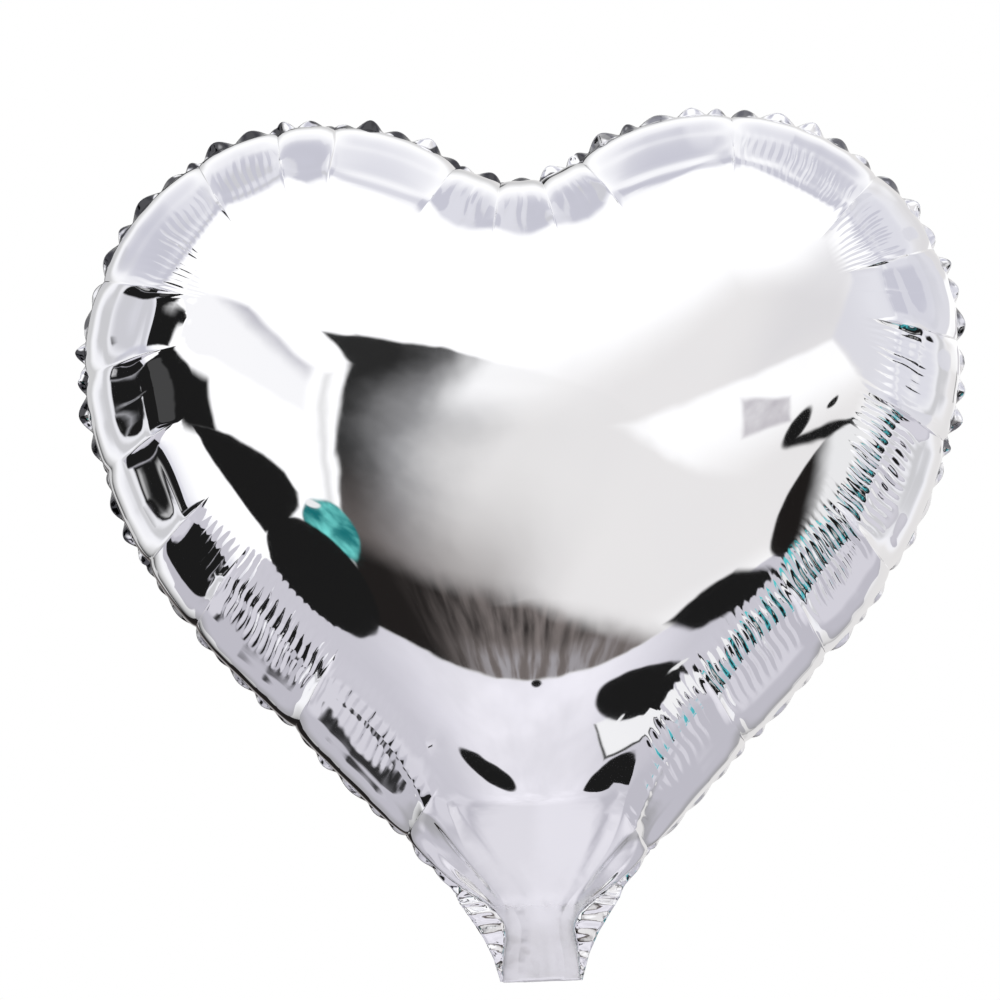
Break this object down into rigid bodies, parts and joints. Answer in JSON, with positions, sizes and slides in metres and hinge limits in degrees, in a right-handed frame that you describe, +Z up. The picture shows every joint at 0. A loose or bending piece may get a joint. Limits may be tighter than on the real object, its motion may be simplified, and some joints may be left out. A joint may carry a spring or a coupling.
{
  "type": "heart-shaped foil balloon",
  "caption": "Inflated heart-shaped foil balloon: mirror film panels welded round the edge, with a folding flat tail that holds a self-sealing film valve.",
  "frame": {"origin": "middle of the neck crease, where the flat tail folds against the heart", "axes": "+Z up from the tail through the heart's notch, -Y out of the front panel, +X across the heart to the right seen from the front"},
  "size_m": [0.378, 0.1856, 0.369],
  "materials": {
    "foil": "polished",
    "weld": "gloss",
    "valve_film": "satin",
    "release_ink": "matte"
  },
  "bodies": {
    "envelope": {"front_panel": "foil", "back_panel": "foil", "perimeter_seal": "weld", "valve_anchor_welds": "valve_film"},
    "tail": {"front_tail": "foil", "back_tail": "foil", "tail_side_seals": "weld", "valve_mouth_front_film": "valve_film", "valve_mouth_back_film": "valve_film", "valve_release_coat": "release_ink"},
    "valve_front": {"valve_front_film": "valve_film", "valve_edge_welds": "valve_film"},
    "valve_back": {"valve_back_film": "valve_film"}
  },
  "joints": [
    {"name": "tail_fold", "type": "hinge", "parent": "envelope", "child": "tail", "pos_m": [0, 0, 0], "axis": [1, 0, 0], "range_deg": [-100, 100]},
    {"name": "valve_front_open", "type": "hinge", "parent": "envelope", "child": "valve_front", "pos_m": [0, -0.00035, 0.0055], "axis": [1, 0, 0], "range_deg": [0, 3]},
    {"name": "valve_back_open", "type": "hinge", "parent": "envelope", "child": "valve_back", "pos_m": [0, 0.00035, 0.0055], "axis": [1, 0, 0], "range_deg": [-3, 0]}
  ],
  "couplings": [
    {"joint": "valve_back_open", "follows": "valve_front_open", "ratio": -1}
  ]
}
